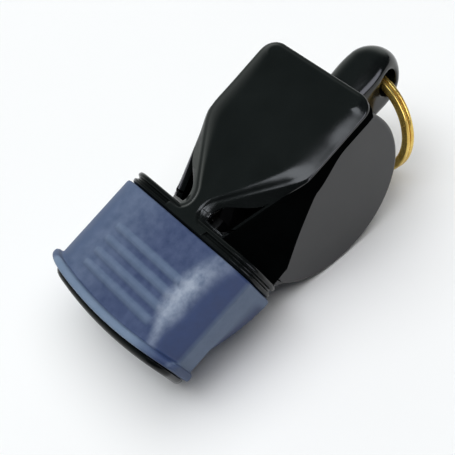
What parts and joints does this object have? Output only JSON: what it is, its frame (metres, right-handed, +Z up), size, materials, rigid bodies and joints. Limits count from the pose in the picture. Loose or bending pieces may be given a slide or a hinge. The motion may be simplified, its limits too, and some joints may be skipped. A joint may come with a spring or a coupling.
{
  "type": "sports whistle",
  "caption": "Pealess referee whistle with a round flat-sided barrel, a shield-shaped top plate, a soft ribbed mouthpiece sleeve and a brass-coloured split ring.",
  "frame": {"origin": "centre of the whole object's box, on the surface that the whistle rests on", "axes": "+X runs from the mouth end to the lug with the ring, +Y across the whistle to its left side, +Z up from the resting surface. The whistle lies tipped by 16.9 degrees, on the lip of its sleeve and on its barrel."},
  "size_m": [0.0576, 0.0298, 0.0251],
  "materials": {
    "gloss_body": "polished black moulding with fine handling scratches",
    "satin_body": "fine satin black moulding",
    "core": "plain black moulding",
    "grip": "dull blue-grey rubber, rubbed lighter along its edges",
    "ring": "bright brass-coloured plating"
  },
  "bodies": {
    "whistle": {"top_shell": "gloss_body", "barrel_shell": "satin_body", "chamber_core": "core", "mouth_grip": "grip"},
    "ring": {"split_ring": "ring"}
  },
  "joints": [
    {"name": "ring_swing", "type": "hinge", "parent": "whistle", "child": "ring", "pos_m": [0.02481, 0, 0.01684], "axis": [0, 1, 0], "range_deg": [-235, 20.5]}
  ]
}
